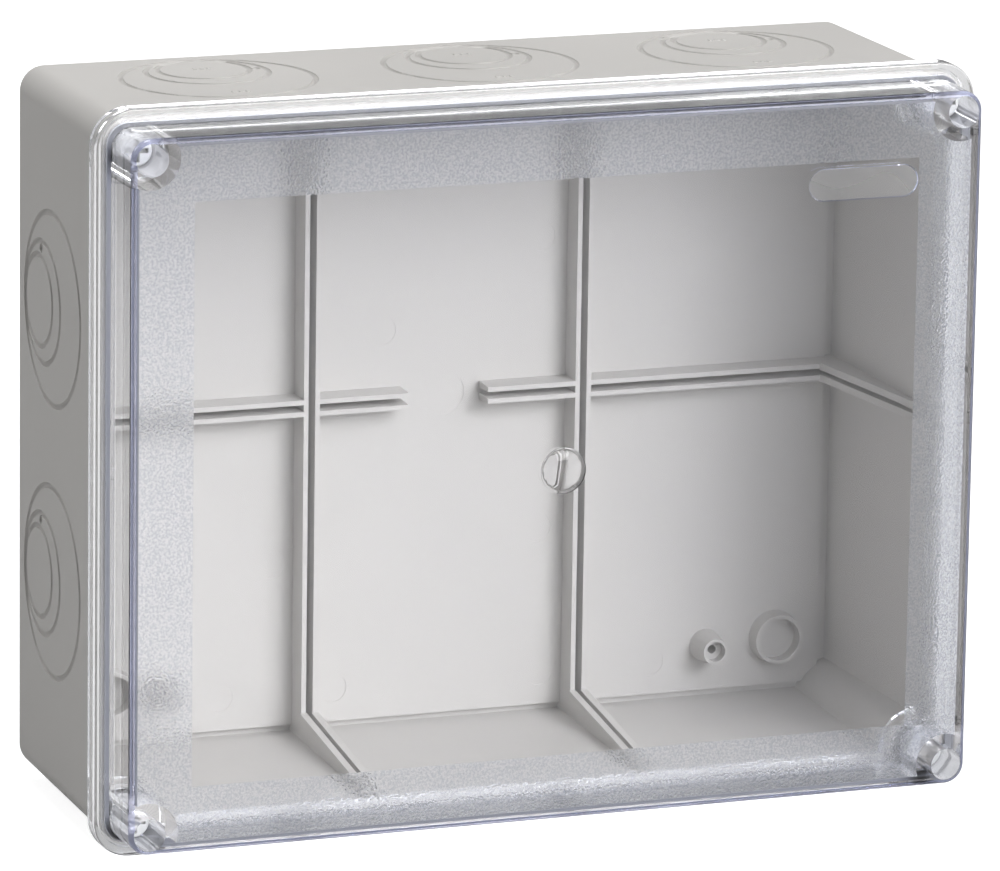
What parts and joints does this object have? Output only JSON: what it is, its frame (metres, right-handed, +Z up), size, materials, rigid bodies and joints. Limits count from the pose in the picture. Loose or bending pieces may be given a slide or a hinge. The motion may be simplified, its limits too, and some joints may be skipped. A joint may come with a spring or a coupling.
{
  "type": "electrical junction box",
  "caption": "Rectangular wall-mounted electrical junction box: light grey moulded base with round break-out rings in its walls and a clear screw-down lid.",
  "frame": {"origin": "centre of the base's flat back face, where it meets the wall", "axes": "+X to the right seen from the front, +Z up, and the lid faces -Y; the back face lies in Y = 0"},
  "size_m": [0.24, 0.095, 0.195],
  "materials": {
    "grey_plastic": "fine moulded texture",
    "clear_plastic": "clear with a frosted border",
    "gasket_rubber": "matte, pale",
    "screw_plastic": "smooth matte"
  },
  "bodies": {
    "base": {"base_box": "grey_plastic"},
    "lid": {"lid": "clear_plastic", "lid_gasket": "gasket_rubber"},
    "screw_top_left": {"lid_screw_top_left": "screw_plastic"},
    "screw_top_right": {"lid_screw_top_right": "screw_plastic"},
    "screw_bottom_left": {"lid_screw_bottom_left": "screw_plastic"},
    "screw_bottom_right": {"lid_screw_bottom_right": "screw_plastic"}
  },
  "joints": [
    {"name": "lid_lift", "type": "slide", "parent": "base", "child": "lid", "axis": [0, -1, 0], "range_m": [0, 0.08]},
    {"name": "screw_turn_top_left", "type": "hinge", "parent": "lid", "child": "screw_top_left", "pos_m": [-0.11, -0.0824, 0.0875], "axis": [0, -1, 0], "range_deg": [0, 90]},
    {"name": "screw_turn_top_right", "type": "hinge", "parent": "lid", "child": "screw_top_right", "pos_m": [0.11, -0.0824, 0.0875], "axis": [0, -1, 0], "range_deg": [0, 90]},
    {"name": "screw_turn_bottom_left", "type": "hinge", "parent": "lid", "child": "screw_bottom_left", "pos_m": [-0.11, -0.0824, -0.0875], "axis": [0, -1, 0], "range_deg": [0, 90]},
    {"name": "screw_turn_bottom_right", "type": "hinge", "parent": "lid", "child": "screw_bottom_right", "pos_m": [0.11, -0.0824, -0.0875], "axis": [0, -1, 0], "range_deg": [0, 90]}
  ]
}
